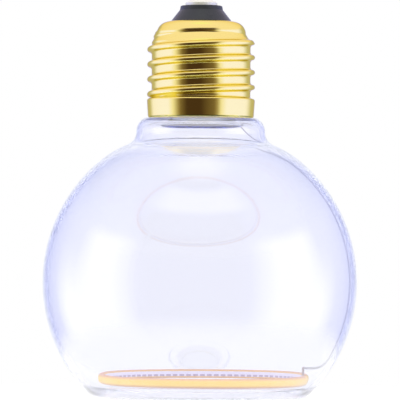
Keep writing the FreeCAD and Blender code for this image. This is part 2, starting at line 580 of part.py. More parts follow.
# Over the last turn the crests run out on a cone, down to the crown.
taper = Outline(shell, "run_out_section").start("Worked.crest_radius", "Worked.run_out_z")
taper.line("Worked.crest_radius + Worked.thread_depth", "Worked.run_out_z")
taper.line("Worked.crest_radius + Worked.thread_depth", "Worked.shell_top_z")
taper.line("Worked.run_out_inner", "Worked.shell_top_z")
groove(shell, taper.close("Worked.crest_radius", "Worked.run_out_z"), "run_out")

# Black insulator: moulded into the crown, with a flange below it and a cone above it.
insulator = new_body("cap_insulator")
cone = Outline(insulator, "insulator_section").start("Sizes.contact_hole / 2", "Worked.plug_foot_z")
cone.line("Worked.plug_flange", "Worked.plug_foot_z")
cone.line("Worked.plug_flange", "Worked.crown_z")
cone.arc("Worked.crown_radius - Sizes.crown_round", "Worked.plug_top_z", "Worked.plug_round")
cone.line("Worked.plug_radius", "Worked.plug_top_z")
cone.line("Worked.plug_radius", "Worked.shell_top_z")
cone.line("Sizes.insulator_rim_diameter / 2", "Worked.insulator_rim_z")
cone.line("Worked.insulator_top", "Worked.insulator_top_z - Sizes.insulator_edge")
cone.arc("Worked.insulator_top - Sizes.insulator_edge", "Worked.insulator_top_z",
         "Sizes.insulator_edge")
cone.line("Sizes.contact_hole / 2", "Worked.insulator_top_z")
revolve(insulator, cone.close("Sizes.contact_hole / 2", "Worked.plug_foot_z"))

# Centre contact: a tinned dome on the insulator, with a shank that takes the resistor's lead.
contact = new_body("centre_contact")
dome = Outline(contact, "contact_section").start("0", "Worked.shank_z")
dome.line("Sizes.shank_diameter / 2", "Worked.shank_z")
dome.line("Sizes.shank_diameter / 2", "Worked.insulator_top_z")
dome.line("Worked.contact_radius", "Worked.insulator_top_z")
dome.line("Worked.contact_radius", "Worked.dome_z")
dome.arc("0", "Worked.dome_z + Worked.dome_rise", "Worked.dome_radius")
revolve(contact, dome.close("0", "Worked.shank_z"))

# Cement ring: fills the room between the neck tube and the skirt and holds the cap.
cement = new_body("cap_cement")
ring = Outline(cement, "cement_section").start("Worked.neck_radius", "Worked.collar_top")
ring.line("Worked.rim_radius - Sizes.shell_wall", "Worked.collar_top")
ring.line("Worked.rim_radius - Sizes.shell_wall", "Worked.rim_z")
ring.line("Worked.skirt_foot - Sizes.shell_wall", "Worked.rim_end_z")
ring.line("Worked.crest_radius - Sizes.shell_wall", "Worked.skirt_top_z")
ring.line("Worked.neck_radius", "Worked.skirt_top_z")
revolve(cement, ring.close("Worked.neck_radius", "Worked.collar_top"))

# Driver board: a round board lying on the lip of the neck, drilled for the two filament leads
# and for the lower lead of the fuse resistor.
board = new_body("driver_board")
disc = Outline(board, "board_outline", "XY_Plane", "Worked.neck_top")
disc.circle("0", "0", "Sizes.board_diameter / 2")
disc.circle("0", "0", "Sizes.resistor_lead / 2 + Sizes.hole_clearance")
for side in (-1, 1):
    azimuth = f"(Sizes.ring_azimuth + {side} * Worked.lead_spread / 2)"
    disc.circle(f"Sizes.lead_neck_offset * cos({azimuth})",
                f"Sizes.lead_neck_offset * sin({azimuth})",
                "Worked.lead_radius + Sizes.hole_clearance")
pad(board, disc.sketch, "Sizes.board_thickness", "board_sheet")

# Fuse resistor: stands on the axis, lower lead in the board, upper lead up to the contact.
resistor = new_body("fusible_resistor")
spool = Outline(resistor, "resistor_section").start("0", "Worked.neck_top")
spool.line("Sizes.resistor_lead / 2", "Worked.neck_top")
spool.line("Sizes.resistor_lead / 2", "Worked.resistor_z")
spool.line("Sizes.resistor_cap / 2", "Worked.resistor_z")
spool.line("Sizes.resistor_cap / 2", "Worked.resistor_z + Sizes.resistor_cap_length")
spool.line("Sizes.resistor_waist / 2", "Worked.resistor_z + Sizes.resistor_cap_length * 1.3")
spool.line("Sizes.resistor_waist / 2", "Worked.resistor_top_z - Sizes.resistor_cap_length * 1.3")
spool.line("Sizes.resistor_cap / 2", "Worked.resistor_top_z - Sizes.resistor_cap_length")
spool.line("Sizes.resistor_cap / 2", "Worked.resistor_top_z")
spool.line("Sizes.resistor_lead / 2", "Worked.resistor_top_z")
spool.line("Sizes.resistor_lead / 2", "Worked.shank_z")
spool.line("0", "Worked.shank_z")
revolve(resistor, spool.close("0", "Worked.neck_top"))

# Smoothing capacitor: a can on the board with a rolled groove near its foot.
capacitor = new_body("bulk_capacitor")
can = Outline(capacitor, "capacitor_section").start("0", "Worked.board_z")
can.line("Sizes.capacitor_diameter / 2", "Worked.board_z")
can.line("Sizes.capacitor_diameter / 2", "Worked.crimp_z - Sizes.capacitor_crimp")
can.arc("Sizes.capacitor_diameter / 2", "Worked.crimp_z + Sizes.capacitor_crimp",
        "Sizes.capacitor_crimp * 1.25", left=False)
can.line("Sizes.capacitor_diameter / 2", "Worked.board_z + Sizes.capacitor_height")
can.line("0", "Worked.board_z + Sizes.capacitor_height")
revolve(capacitor, can.close("0", "Worked.board_z"))
capacitor.setExpression("Placement.Base.x", "-Sizes.capacitor_offset")


def package(name, side, length, width, height, leg_pitch, legs):
    """A moulded package lying on the board, with flat legs along its two long sides."""
    body = new_body(name)
    middle = f"({side} * Sizes.package_y)"
    feet = Outline(body, f"{name}_legs", "XY_Plane", "Worked.board_z")
    for number in range(legs):
        leg_x = f"Sizes.package_x + {leg_pitch} * {number - (legs - 1) / 2}"
        feet.rectangle(f"{leg_x} - Sizes.leg_width / 2",
                       f"{middle} - {width} / 2 - Sizes.leg_reach",
                       f"{leg_x} + Sizes.leg_width / 2",
                       f"{middle} + {width} / 2 + Sizes.leg_reach")
    pad(body, feet.sketch, "Sizes.leg_thickness", f"{name}_feet")
    block = Outline(body, f"{name}_outline", "XY_Plane", "Worked.board_z")
    block.rectangle(f"Sizes.package_x - {length} / 2", f"{middle} - {width} / 2",
                    f"Sizes.package_x + {length} / 2", f"{middle} + {width} / 2")
    pad(body, block.sketch, height, f"{name}_block")


package("bridge_rectifier", 1, "Sizes.rectifier_length", "Sizes.rectifier_width",
        "Sizes.rectifier_height", "Sizes.rectifier_leg_pitch", 2)
package("driver_chip", -1, "Sizes.chip_length", "Sizes.chip_width",
        "Sizes.chip_height", "Sizes.chip_leg_pitch", 4)

# Flat resistors: two alike, lying on the board either side of the axis.
flats = new_body("chip_resistors")
slabs = Outline(flats, "flat_resistor_outlines", "XY_Plane", "Worked.board_z")
for side in (-1, 1):
    middle = f"({side} * Sizes.flat_resistor_offset)"
    slabs.rectangle("-Sizes.flat_resistor_width / 2", f"{middle} - Sizes.flat_resistor_length / 2",
                    "Sizes.flat_resistor_width / 2", f"{middle} + Sizes.flat_resistor_length / 2")
pad(flats, slabs.sketch, "Sizes.flat_resistor_height", "flat_resistors")


def wire(name, azimuth, path, section_plane, section_offset, section_place, radius):
    """A round wire swept along a path of straight runs and tangent arcs."""
    body = new_body(name, azimuth)
    route = path(Outline(body, f"{name}_route"))
    section = Outline(body, f"{name}_section", section_plane, section_offset)
    section.circle(*section_place, radius)
    sweep = body.newObject("PartDesign::AdditivePipe", f"{name}_sweep")
    sweep.Profile = (section.sketch, [""])
    sweep.Spine = (route.sketch, [])
    return body


def shell_lead_path(route):
    bend = "Sizes.shell_lead_bend"
    route.start("Sizes.shell_lead_offset", "Worked.board_z")
    route.line("Sizes.shell_lead_offset", f"Worked.shell_lead_z - {bend}")
    route.arc(f"Sizes.shell_lead_offset + {bend}", "Worked.shell_lead_z", bend, left=False)
    return route.line("Worked.shell_lead_end", "Worked.shell_lead_z")


def filament_lead(name, azimuth, start):
    """A lead from its terminal out to the wall, up along the wall and through the neck."""

    def path(route):
        route.start(start, "Worked.lead_z")
        route.line("Worked.low_bend_x", "Worked.lead_z")
        route.arc("Worked.low_bend_x * Worked.low_share",
                  "Sizes.centre_height - Worked.low_bend_drop * Worked.low_share",
                  "Sizes.lead_low_bend")
        route.arc("Worked.lead_path_radius * sin(Sizes.shoulder_angle)",
                  "Sizes.centre_height + Worked.lead_path_radius * cos(Sizes.shoulder_angle)",
                  "Worked.lead_path_radius")
        route.arc("Worked.shoulder_x"
                  " + (Worked.high_bend_x - Worked.shoulder_x) * Worked.high_share",
                  "Worked.shoulder_z + Worked.high_bend_rise * Worked.high_share",
                  "Worked.lead_shoulder")
        route.arc("Sizes.lead_neck_offset", "Worked.shoulder_z + Worked.high_bend_rise",
                  "Sizes.lead_high_bend", left=False)
        return route.line("Sizes.lead_neck_offset", "Worked.board_z")

    wire(name, azimuth, path, "YZ_Plane", start, ("0", "Worked.lead_z"), "Worked.lead_radius")


# Shell lead: a stiff wire from the board that springs against a thread root, inside.
wire("shell_lead", "90", shell_lead_path, "XY_Plane", "Worked.board_z",
     ("Sizes.shell_lead_offset", "0"), "Sizes.resistor_lead / 2")

# Filament leads: two stiff wires close to the wall of the globe, which hold the ring.
filament_lead("filament_lead_live", "Worked.lead_azimuth", "Worked.live_start")
filament_lead("filament_lead_return", "Worked.lead_azimuth + Worked.lead_spread",
              "Worked.return_start")

# Solder cones over the ends of the filament leads, on the board.
cones = []
for label, side in (("live", -1), ("return", 1)):
    azimuth = f"(Sizes.ring_azimuth + {side} * Worked.lead_spread / 2)"
    solder = document.addObject("Part::Cone", f"joint_{label}")
    solder.setExpression("Radius1", "Sizes.joint_diameter / 2")
    solder.setExpression("Radius2", "Sizes.joint_diameter / 6")
    solder.setExpression("Height", "Sizes.joint_height")
    solder.setExpression("Placement.Base.x", f"Sizes.lead_neck_offset * cos({azimuth})")
    solder.setExpression("Placement.Base.y", f"Sizes.lead_neck_offset * sin({azimuth})")
    solder.setExpression("Placement.Base.z", "Worked.board_z")
    cones.append(solder)
joints = document.addObject("Part::Fuse", "lead_joints")
joints.Label = "lead_joints"
joints.Base, joints.Tool = cones

# Filament strip: a narrow flexible strip, bent to a ring that is open at the leads.
strip = ring_body("filament_strip", "Worked.strip_start")
band = Outline(strip, "strip_section")
band.rectangle("Worked.strip_inner", "Worked.strip_z", "Worked.strip_outer", "Worked.strip_top_z")
revolve(strip, band.sketch, "Worked.strip_sweep")

# LED chips on the outer face of the strip, and the pads behind them on its inner face.
emitters = ring_body("filament_chips", "Worked.emitter_first")
emitter = Outline(emitters, "emitter_section")
emitter.rectangle("Worked.strip_outer", "Worked.strip_middle - Sizes.emitter_height / 2",
                  "Worked.strip_outer + Sizes.emitter_thickness",
                  "Worked.strip_middle + Sizes.emitter_height / 2")
copy_around(emitters, revolve(emitters, emitter.sketch, "Worked.emitter_angle"),
            "Worked.row_span", "Sizes.emitter_count")

pads = ring_body("filament_pads", "Worked.pad_first")
pad_face = Outline(pads, "pad_section")
pad_face.rectangle("Worked.strip_inner - Sizes.pad_thickness", "Worked.pad_z",
                   "Worked.strip_inner", "Worked.pad_z + Sizes.pad_height")
copy_around(pads, revolve(pads, pad_face.sketch, "Worked.pad_angle"),
            "Worked.row_span", "Sizes.emitter_count")

# Phosphor coat: amber silicone cast over the outer face, the chips and both edges of the strip.
coat = ring_body("coat_form", "Worked.strip_start + Sizes.bare_end")
lip = Outline(coat, "coat_section").start("Worked.strip_inner", "Worked.strip_z")
lip.line("Worked.strip_inner", "Worked.filament_z + Sizes.coat_edge")
lip.arc("Worked.strip_inner + Sizes.coat_edge", "Worked.filament_z", "Sizes.coat_edge")
lip.line("Worked.filament_radius - Sizes.coat_round", "Worked.filament_z")
lip.arc("Worked.filament_radius", "Worked.filament_z + Sizes.coat_round", "Sizes.coat_round")
lip.line("Worked.filament_radius", "Worked.filament_top_z - Sizes.coat_round")
lip.arc("Worked.filament_radius - Sizes.coat_round", "Worked.filament_top_z", "Sizes.coat_round")
lip.line("Worked.strip_inner + Sizes.coat_edge", "Worked.filament_top_z")
lip.arc("Worked.strip_inner", "Worked.filament_top_z - Sizes.coat_edge", "Sizes.coat_edge")
lip.line("Worked.strip_inner", "Worked.strip_top_z")
lip.line("Worked.strip_outer", "Worked.strip_top_z")
lip.line("Worked.strip_outer", "Worked.strip_z")
revolve(coat, lip.close("Worked.strip_inner", "Worked.strip_z"), "Worked.coat_sweep")
phosphor = document.addObject("Part::Cut", "filament_phosphor")
phosphor.Label = "filament_phosphor"
phosphor.Base = coat
phosphor.Tool = emitters

# Terminals: a metal tab on each end of the strip, rising above the ring to take its lead.
terminals = ring_body("filament_terminals", "Worked.strip_start - Sizes.terminal_angle")
tab = Outline(terminals, "terminal_section")
tab.rectangle("Worked.strip_inner", "Worked.strip_z", "Worked.terminal_outer",
              "Worked.terminal_top_z")
copy_around(terminals, revolve(terminals, tab.sketch, "Sizes.terminal_angle"),
            "-Worked.lead_spread", "2")

document.recompute()

NODES = [
    "glass_globe", "cap_shell", "cap_insulator", "centre_contact", "cap_cement", "driver_board",
    "fusible_resistor", "bulk_capacitor", "bridge_rectifier", "driver_chip", "chip_resistors",
    "shell_lead", "lead_joints", "filament_lead_live", "filament_lead_return", "filament_strip",
    "filament_chips", "filament_pads", "filament_phosphor", "filament_terminals",
]

for item in document.Objects:
    if "Invalid" in item.State or "Error" in item.State:
        raise RuntimeError(f"{item.Name} failed: {item.State}")

os.makedirs("parts", exist_ok=True)
for node in NODES:
    shape = document.getObject(node).Shape
    if shape.isNull() or not shape.isValid() or not shape.Solids:
        raise RuntimeError(f"{node} has no valid solid")
    print(node, len(shape.Solids), round(shape.Volume, 3))

for node in NODES:
    document.getObject(node).Shape.exportStep(f"parts/{node}.step")
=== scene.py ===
import math

import bmesh
import bpy
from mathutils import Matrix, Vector


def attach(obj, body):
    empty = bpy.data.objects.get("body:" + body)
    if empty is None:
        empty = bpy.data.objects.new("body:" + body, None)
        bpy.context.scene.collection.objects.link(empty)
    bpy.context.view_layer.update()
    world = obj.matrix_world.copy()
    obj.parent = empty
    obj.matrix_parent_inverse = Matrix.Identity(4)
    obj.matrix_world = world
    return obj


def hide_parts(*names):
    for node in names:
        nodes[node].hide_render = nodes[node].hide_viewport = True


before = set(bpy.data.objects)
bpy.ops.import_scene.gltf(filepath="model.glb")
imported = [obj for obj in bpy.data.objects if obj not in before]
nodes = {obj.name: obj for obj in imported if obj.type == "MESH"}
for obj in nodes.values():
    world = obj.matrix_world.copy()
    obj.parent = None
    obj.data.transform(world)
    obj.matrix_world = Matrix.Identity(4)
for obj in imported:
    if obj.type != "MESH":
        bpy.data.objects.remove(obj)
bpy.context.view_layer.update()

# Glass envelope: one blown piece of clear, faintly lavender glass with a flat foot,
# a rounded shoulder and a sharp-edged collar. Its narrow neck tube stands inside the cap.
mm = 0.001
globe_radius = 38.1 * mm
glass_wall = 1.45 * mm
centre_height = 27.9 * mm
foot_corner = 4 * mm
floor_thickness = 1.5 * mm
floor_corner = 6.5 * mm
shoulder_angle = math.radians(40)
shoulder_radius = 25 * mm
collar_radius = 15.65 * mm
collar_fillet = 3.5 * mm
collar_rise = 3.27 * mm
collar_edge = 13.7 * mm
neck_radius = 11.3 * mm
neck_length = 6.4 * mm
neck_lip = 0.8 * mm
# the glass goes a hair into the cement, so that no film of air shows between them
cement_wetting = 0.02 * mm
glass_segments = 288
shelf_steps = 2
neck_steps = 3
flat_steps = 4
lip_steps = 6
round_steps = 10
shoulder_steps = 14
floor_round_steps = 20
inner_globe_steps = 84
outer_globe_steps = 100
axis_nearness = 1e-6 * mm
glass_edge = math.radians(35)


def carry(outline, end, steps=1):
    """Carry an outline straight on to a point."""
    begin = outline[-1]
    for step in range(1, steps + 1):
        share = step / steps
        outline.append(tuple(a + (b - a) * share for a, b in zip(begin, end)))


def bend(outline, end, radius, steps, left=True):
    """Carry an outline on to a point by an arc that bends left or right of the way it runs."""
    begin = Vector(outline[-1])
    chord = Vector(end) - begin
    side = Vector((-chord.y, chord.x)).normalized()
    reach = math.sqrt(max(radius ** 2 - (chord.length / 2) ** 2, 0))
    centre = begin + chord / 2 + side * (reach if left else -reach)
    first = begin - centre
    turn = 2 * math.asin(min(chord.length / 2 / radius, 1)) * (1 if left else -1)
    for step in range(1, steps):
        angle = turn * step / steps
        cosine, sine = math.cos(angle), math.sin(angle)
        outline.append((centre.x + first.x * cosine - first.y * sine,
                        centre.y + first.x * sine + first.y * cosine))
    outline.append(tuple(end))


def turned(name, outline, segments, sharp_edge):
    """A mesh turned about the bulb's axis from (radius, height) points, with poles on the axis."""
    shape = bmesh.new()
    rings = []
    for radius, height in outline:
        if radius < axis_nearness:
            rings.append([shape.verts.new((0, 0, height))])
            continue
        angles = [2 * math.pi * number / segments for number in range(segments)]
        rings.append([shape.verts.new((radius * math.cos(a), radius * math.sin(a), height))
                      for a in angles])
    for lower, upper in zip(rings, rings[1:]):
        for number in range(segments):
            after = (number + 1) % segments
            if len(lower) == 1:
                shape.faces.new((lower[0], upper[after], upper[number]))
            elif len(upper) == 1:
                shape.faces.new((lower[number], lower[after], upper[0]))
            else:
                shape.faces.new((lower[number], lower[after], upper[after], upper[number]))
    for face in shape.faces:
        face.smooth = True
    mesh = bpy.data.meshes.new(name)
    shape.to_mesh(mesh)
    shape.free()
    mesh.set_sharp_from_angle(angle=sharp_edge)
    piece = bpy.data.objects.new(name, mesh)
    bpy.context.scene.collection.objects.link(piece)
    return piece


shoulder_reach = globe_radius - shoulder_radius
shoulder_x = shoulder_reach * math.sin(shoulder_angle)
shoulder_z = centre_height + shoulder_reach * math.cos(shoulder_angle)
fillet_x = collar_radius + collar_fillet
fillet_z = shoulder_z + math.sqrt((shoulder_radius + collar_fillet) ** 2 - (fillet_x - shoulder_x) ** 2)
collar_inset = collar_radius - collar_edge
collar_round = (collar_inset ** 2 + collar_rise ** 2) / (2 * collar_inset)
collar_top = fillet_z + collar_rise
neck_top = collar_top + neck_length
inner_radius = globe_radius - glass_wall
bore_radius = neck_radius - glass_wall
ceiling = collar_top - glass_wall
ceiling_radius = (collar_radius - collar_round
                  + math.sqrt((collar_round - glass_wall) ** 2 - (collar_rise - glass_wall) ** 2))


def on_globe(radius, angle):
    """A point of a globe about the bulb's centre, at an angle off the axis."""
    return radius * math.sin(angle), centre_height + radius * math.cos(angle)


def on_shoulder(radius):
    """The point where a shoulder of that radius meets the hollow rounding under the collar."""
    share = radius / (shoulder_radius + collar_fillet)
    return shoulder_x + (fillet_x - shoulder_x) * share, shoulder_z + (fillet_z - shoulder_z) * share


foot_radius = math.sqrt((globe_radius - foot_corner) ** 2 - (centre_height - foot_corner) ** 2)
foot_angle = math.pi - math.atan2(foot_radius, centre_height - foot_corner)
floor_drop = centre_height - floor_thickness - floor_corner
floor_radius = math.sqrt((inner_radius - floor_corner) ** 2 - floor_drop ** 2)
floor_angle = math.pi - math.atan2(floor_radius, floor_drop)

glass_outline = [(0, 0)]
carry(glass_outline, (foot_radius, 0), flat_steps)
bend(glass_outline, on_globe(globe_radius, foot_angle), foot_corner, round_steps)
bend(glass_outline, on_globe(globe_radius, shoulder_angle), globe_radius, outer_globe_steps)
bend(glass_outline, on_shoulder(shoulder_radius), shoulder_radius, shoulder_steps)
bend(glass_outline, (collar_radius, fillet_z), collar_fillet, round_steps, left=False)
bend(glass_outline, (collar_edge, collar_top + cement_wetting), collar_round, round_steps)
carry(glass_outline, (neck_radius + cement_wetting, collar_top + cement_wetting), shelf_steps)
carry(glass_outline, (neck_radius + cement_wetting, neck_top), neck_steps)
carry(glass_outline, (bore_radius, neck_top))
carry(glass_outline, (bore_radius, ceiling + neck_lip), neck_steps)
bend(glass_outline, (bore_radius + neck_lip, ceiling), neck_lip, lip_steps)
carry(glass_outline, (ceiling_radius, ceiling))
bend(glass_outline, (collar_radius - glass_wall, fillet_z), collar_round - glass_wall, round_steps,
     left=False)
bend(glass_outline, on_shoulder(shoulder_radius - glass_wall), collar_fillet + glass_wall, round_steps)
bend(glass_outline, on_globe(inner_radius, shoulder_angle), shoulder_radius - glass_wall, shoulder_steps,
     left=False)
bend(glass_outline, on_globe(inner_radius, floor_angle), inner_radius, inner_globe_steps, left=False)
bend(glass_outline, (floor_radius, floor_thickness), floor_corner, floor_round_steps, left=False)
carry(glass_outline, (0, floor_thickness), flat_steps)
globe = turned("globe_glass", glass_outline, glass_segments, glass_edge)


def new_material(name):
    """A material with its Principled shader and node tree."""
    material = bpy.data.materials.new(name)
    material.use_nodes = True
    return material, material.node_tree, material.node_tree.nodes["Principled BSDF"]


def dress(piece, material):
    """Give a piece one material."""
    piece.data.materials.clear()
    piece.data.materials.append(material)


def join(tree, value, socket):
    """Link a socket to another one, or set a plain value on it."""
    if isinstance(value, bpy.types.NodeSocket):
        tree.links.new(value, socket)
    else:
        socket.default_value = value


def reckon(tree, operation, *values):
    """A Math node for sockets and numbers; returns its result."""
    node = tree.nodes.new("ShaderNodeMath")
    node.operation = operation
    for socket, value in zip(node.inputs, values):
        join(tree, value, socket)
    return node.outputs["Value"]


def shader_mix(tree, factor, first, second):
    """A mix of two shaders; returns its result."""
    node = tree.nodes.new("ShaderNodeMixShader")
    tree.links.new(factor, node.inputs["Fac"])
    tree.links.new(first, node.inputs[1])
    tree.links.new(second, node.inputs[2])
    return node.outputs["Shader"]


glass, tree, shader = new_material("clear_lavender_glass")
shader.inputs["Base Color"].default_value = (1, 1, 1, 1)
shader.inputs["Roughness"].default_value = 0
shader.inputs["IOR"].default_value = 1.5
shader.inputs["Transmission Weight"].default_value = 1
shader.inputs["Coat Weight"].default_value = 1
shader.inputs["Coat Roughness"].default_value = 0
shader.inputs["Coat IOR"].default_value = 1.6
# faint waves left by blowing
place = tree.nodes.new("ShaderNodeTexCoord")
waves = tree.nodes.new("ShaderNodeTexNoise")
waves.inputs["Scale"].default_value = 25
waves.inputs["Detail"].default_value = 1
ripple = tree.nodes.new("ShaderNodeBump")
ripple.inputs["Strength"].default_value = 0.003
ripple.inputs["Distance"].default_value = 0.001
tree.links.new(place.outputs["Object"], waves.inputs["Vector"])
tree.links.new(waves.outputs["Fac"], ripple.inputs["Height"])
tree.links.new(ripple.outputs["Normal"], shader.inputs["Normal"])
# thick glass is the deeper in colour
tint = tree.nodes.new("ShaderNodeVolumeAbsorption")
tint.inputs["Color"].default_value = (0.03, 0.17, 0.93, 1)
tint.inputs["Density"].default_value = 23
finish = tree.nodes["Material Output"]
tree.links.new(tint.outputs["Volume"], finish.inputs["Volume"])
# lamps and room light reach the filament and the cement through the glass
path = tree.nodes.new("ShaderNodeLightPath")
lighting = reckon(tree, "MAXIMUM", path.outputs["Is Shadow Ray"], path.outputs["Is Diffuse Ray"])
clear = tree.nodes.new("ShaderNodeBsdfTransparent")
through = shader_mix(tree, lighting, shader.outputs["BSDF"], clear.outputs["BSDF"])
tree.links.new(through, finish.inputs["Surface"])
dress(globe, glass)
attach(globe, "root")
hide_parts("glass_globe")

# Screw shell: thin brass sheet, drawn to a cup and rolled to a coarse right-handed thread,
# polished and cemented to the neck. Its lower rim is turned in a little.
shell_wall = 0.3 * mm
rim_z = collar_top + 0.05 * mm
rim_height = 0.8 * mm
rim_turn = 0.22 * mm
skirt_foot = 12.88 * mm
skirt_height = 4.2 * mm
skirt_round = 0.55 * mm
crest_radius = 13.1 * mm
root_radius = 12 * mm
thread_pitch = 3.629 * mm
crest_round = 0.68 * mm
root_round = 0.68 * mm
first_crest = rim_z + 3.9 * mm
thread_turns = 4.75
thread_fade = 0.6
shell_top = rim_z + 23.45 * mm
run_out = shell_top - 5.35 * mm
run_out_slope = math.tan(math.radians(32))
crown_radius = 10.85 * mm
crown_round = 3.05 * mm
crown_cone = 2 * mm
crown_opening = 7.5 * mm
shell_segments = 192
rim_steps = 5
skirt_steps = 8
barrel_steps = 104
crown_steps = 14
outline_edge = math.radians(35)
shell_edge = math.radians(40)

rim_curve = (rim_height ** 2 + rim_turn ** 2) / (2 * rim_turn)
skirt_step = crest_radius - root_radius
step_height = math.sqrt(4 * skirt_round * skirt_step - skirt_step ** 2)
skirt_top = rim_z + skirt_height
crown_z = shell_top - crown_round
shell_outline = [(skirt_foot - rim_turn, rim_z)]
bend(shell_outline, (skirt_foot, rim_z + rim_height), rim_curve, rim_steps)
carry(shell_outline, (crest_radius, skirt_top), skirt_steps)
bend(shell_outline, (crest_radius - skirt_step / 2, skirt_top + step_height / 2), skirt_round, rim_steps)
bend(shell_outline, (root_radius, skirt_top + step_height), skirt_round, rim_steps, left=False)
carry(shell_outline, (root_radius, crown_z - crown_cone), barrel_steps)
carry(shell_outline, (crown_radius, crown_z), crown_steps)
bend(shell_outline, (crown_radius - crown_round, shell_top), crown_round, crown_steps)
carry(shell_outline, (crown_opening, shell_top))
shell = turned("screw_shell", shell_outline, shell_segments, outline_edge)


def thread_rolling():
    """Nodes that raise a rounded right-handed thread on a turned shell."""
    rolling = bpy.data.node_groups.new("thread_rolling", "GeometryNodeTree")
    sides = rolling.interface
    sides.new_socket("Geometry", in_out="INPUT", socket_type="NodeSocketGeometry")
    names = ("Pitch", "Crest Radius", "Root Radius", "Crest Round", "Root Round", "First Crest",
             "Turns", "Fade", "Run Out", "Run Out Slope")
    for name in names:
        sides.new_socket(name, in_out="INPUT", socket_type="NodeSocketFloat")
    sides.new_socket("Material", in_out="INPUT", socket_type="NodeSocketMaterial")
    sides.new_socket("Geometry", in_out="OUTPUT", socket_type="NodeSocketGeometry")
    given = rolling.nodes.new("NodeGroupInput").outputs

    def work(operation, *values):
        """A step of the reckoning."""
        return reckon(rolling, operation, *values)

    def leg(hypotenuse, other):
        """The third side of a right triangle, or nought where there is none."""
        square = work("SUBTRACT", work("POWER", hypotenuse, 2), work("POWER", other, 2))
        return work("SQRT", work("MAXIMUM", square, 0))

    where = rolling.nodes.new("GeometryNodeInputPosition")
    apart = rolling.nodes.new("ShaderNodeSeparateXYZ")
    rolling.links.new(where.outputs["Position"], apart.inputs["Vector"])
    x, y, z = apart.outputs
    angle = work("ARCTAN2", y, x)
    share = work("FLOORED_MODULO", work("DIVIDE", angle, 2 * math.pi), 1)
    # the nearest crest along the axis, among the turns that the thread has
    risen = work("SUBTRACT", z, given["First Crest"])
    turn = work("SUBTRACT", work("DIVIDE", risen, given["Pitch"]), share)
    last = work("FLOOR", work("SUBTRACT", given["Turns"], share))
    nearest = work("MINIMUM", work("MAXIMUM", work("ROUND", turn), 0), last)
    off = work("MULTIPLY", work("ABSOLUTE", work("SUBTRACT", turn, nearest)), given["Pitch"])
    # crest and root roundings, which meet in a smooth wave
    crest_middle = work("SUBTRACT", given["Crest Radius"], given["Crest Round"])
    root_middle = work("ADD", given["Root Radius"], given["Root Round"])
    rounds = work("ADD", given["Crest Round"], given["Root Round"])
    root_off = leg(rounds, work("SUBTRACT", root_middle, crest_middle))
    meet = work("MULTIPLY", root_off, work("DIVIDE", given["Crest Round"], rounds))
    on_crest = work("ADD", crest_middle, leg(given["Crest Round"], off))
    to_root = work("MAXIMUM", work("SUBTRACT", root_off, off), 0)
    on_root = work("SUBTRACT", root_middle, leg(given["Root Round"], to_root))
    is_crest = work("LESS_THAN", off, meet)
    ridge = work("ADD", work("MULTIPLY", is_crest, on_crest),
                 work("MULTIPLY", work("SUBTRACT", 1, is_crest), on_root))
    radius = work("SQRT", work("ADD", work("POWER", x, 2), work("POWER", y, 2)))
    left = work("SUBTRACT", given["Turns"], work("ADD", nearest, share))
    fading = work("MINIMUM", work("MAXIMUM", work("DIVIDE", left, given["Fade"]), 0), 1)
    height = work("MULTIPLY", work("SUBTRACT", ridge, given["Root Radius"]), fading)
    riding = work("ADD", radius, height)
    # the last turn runs out on a cone
    past = work("MAXIMUM", work("SUBTRACT", z, given["Run Out"]), 0)
    cone = work("SUBTRACT", given["Crest Radius"], work("MULTIPLY", past, given["Run Out Slope"]))
    standing = work("ADD", given["Root Radius"], height)
    pressed = work("MINIMUM", work("MINIMUM", standing, riding), cone)
    swell = work("DIVIDE", work("MAXIMUM", radius, pressed), radius)
    moved = rolling.nodes.new("ShaderNodeCombineXYZ")
    for socket, value in zip(moved.inputs, (work("MULTIPLY", x, swell), work("MULTIPLY", y, swell), z)):
        rolling.links.new(value, socket)
    press = rolling.nodes.new("GeometryNodeSetPosition")
    whole = rolling.nodes.new("GeometryNodeRealizeInstances")
    coat = rolling.nodes.new("GeometryNodeSetMaterial")
    result = rolling.nodes.new("NodeGroupOutput")
    rolling.links.new(given["Geometry"], press.inputs["Geometry"])
    rolling.links.new(moved.outputs["Vector"], press.inputs["Position"])
    rolling.links.new(press.outputs["Geometry"], whole.inputs["Geometry"])
    rolling.links.new(whole.outputs["Geometry"], coat.inputs["Geometry"])
    rolling.links.new(given["Material"], coat.inputs["Material"])
    rolling.links.new(coat.outputs["Geometry"], result.inputs["Geometry"])
    return rolling


def finished(piece):
    """Make a piece's modifiers part of its mesh."""
    evaluated = piece.evaluated_get(bpy.context.evaluated_depsgraph_get())
    mesh = bpy.data.meshes.new_from_object(evaluated)
    piece.modifiers.clear()
    piece.data = mesh
    mesh.name = piece.name


unevenness_around = 30
mark_height = 0.2 * mm


